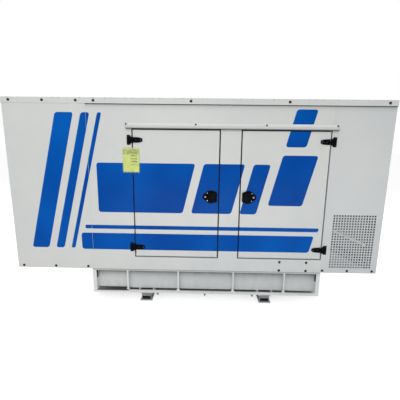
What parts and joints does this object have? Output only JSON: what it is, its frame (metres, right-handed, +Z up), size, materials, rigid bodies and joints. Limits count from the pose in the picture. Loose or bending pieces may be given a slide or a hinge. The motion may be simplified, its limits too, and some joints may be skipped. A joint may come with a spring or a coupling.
{
  "type": "silent diesel generating set",
  "caption": "Enclosed diesel generating set on a skid base with a fuel tank: sheet-steel canopy with hinged service doors, locks, rain rail and pierced air inlet.",
  "frame": {"origin": "on the floor, under the middle of the canopy", "axes": "+X along the set from the radiator end to the inlet end, -Y towards the operator's side with the opening doors, +Z up"},
  "size_m": [3.306, 1.196, 1.88],
  "materials": {
    "canopy_paint": "satin",
    "black_die_casting": "satin",
    "seal_rubber": "matte",
    "foam_lining": "matte",
    "zinc_sheet": "satin",
    "radiator_metal": "satin",
    "engine_paint": "satin",
    "black_paint": "satin"
  },
  "bodies": {
    "set": {"runner_left": "canopy_paint", "runner_right": "canopy_paint", "base_lip_bars": "canopy_paint", "base_tie_bars": "canopy_paint", "base_ribs": "canopy_paint", "base_end_left": "canopy_paint", "base_end_right": "canopy_paint", "fuel_tank": "canopy_paint", "base_top_frame": "canopy_paint", "canopy_floor": "canopy_paint", "front_panel_radiator": "canopy_paint", "front_panel_left": "canopy_paint", "front_header": "canopy_paint", "front_mullion": "canopy_paint", "front_sill": "canopy_paint", "front_inlet_panel": "canopy_paint", "inlet_baffle": "canopy_paint", "back_upright_panels": "canopy_paint", "back_cross_panels": "canopy_paint", "back_door_left": "canopy_paint", "back_door_right": "canopy_paint", "end_panel_left": "canopy_paint", "end_panel_right": "canopy_paint", "roof_main": "canopy_paint", "roof_radiator": "canopy_paint", "outlet_grille": "zinc_sheet", "rain_rail_front": "canopy_paint", "rain_rail_back": "canopy_paint", "door_seals": "seal_rubber", "hinge_bases": "black_die_casting", "back_hinges": "black_die_casting", "back_locks": "black_die_casting", "radiator": "radiator_metal", "engine": "engine_paint", "alternator": "engine_paint", "control_cabinet": "canopy_paint", "engine_bearers": "black_paint"},
    "left_door": {"door_left": "canopy_paint", "door_left_lining": "foam_lining", "door_left_hinges": "black_die_casting", "door_left_lock": "black_die_casting"},
    "right_door": {"door_right": "canopy_paint", "door_right_lining": "foam_lining", "door_right_hinges": "black_die_casting", "door_right_lock": "black_die_casting"},
    "left_paddle": {"door_left_paddle": "black_die_casting"},
    "right_paddle": {"door_right_paddle": "black_die_casting"}
  },
  "joints": [
    {"name": "left_door_swing", "type": "hinge", "parent": "set", "child": "left_door", "pos_m": [-0.551, -0.588, 0.9], "axis": [0, 0, -1], "range_deg": [0, 110]},
    {"name": "right_door_swing", "type": "hinge", "parent": "set", "child": "right_door", "pos_m": [1.134, -0.588, 0.9], "axis": [0, 0, 1], "range_deg": [0, 110]},
    {"name": "left_paddle_pull", "type": "hinge", "parent": "left_door", "child": "left_paddle", "pos_m": [0.106, -0.592, 1.053], "axis": [0, 0, -1], "range_deg": [0, 35], "stiffness_Nm_per_rad": 0.5},
    {"name": "right_paddle_pull", "type": "hinge", "parent": "right_door", "child": "right_paddle", "pos_m": [0.477, -0.592, 1.053], "axis": [0, 0, 1], "range_deg": [0, 35], "stiffness_Nm_per_rad": 0.5}
  ]
}
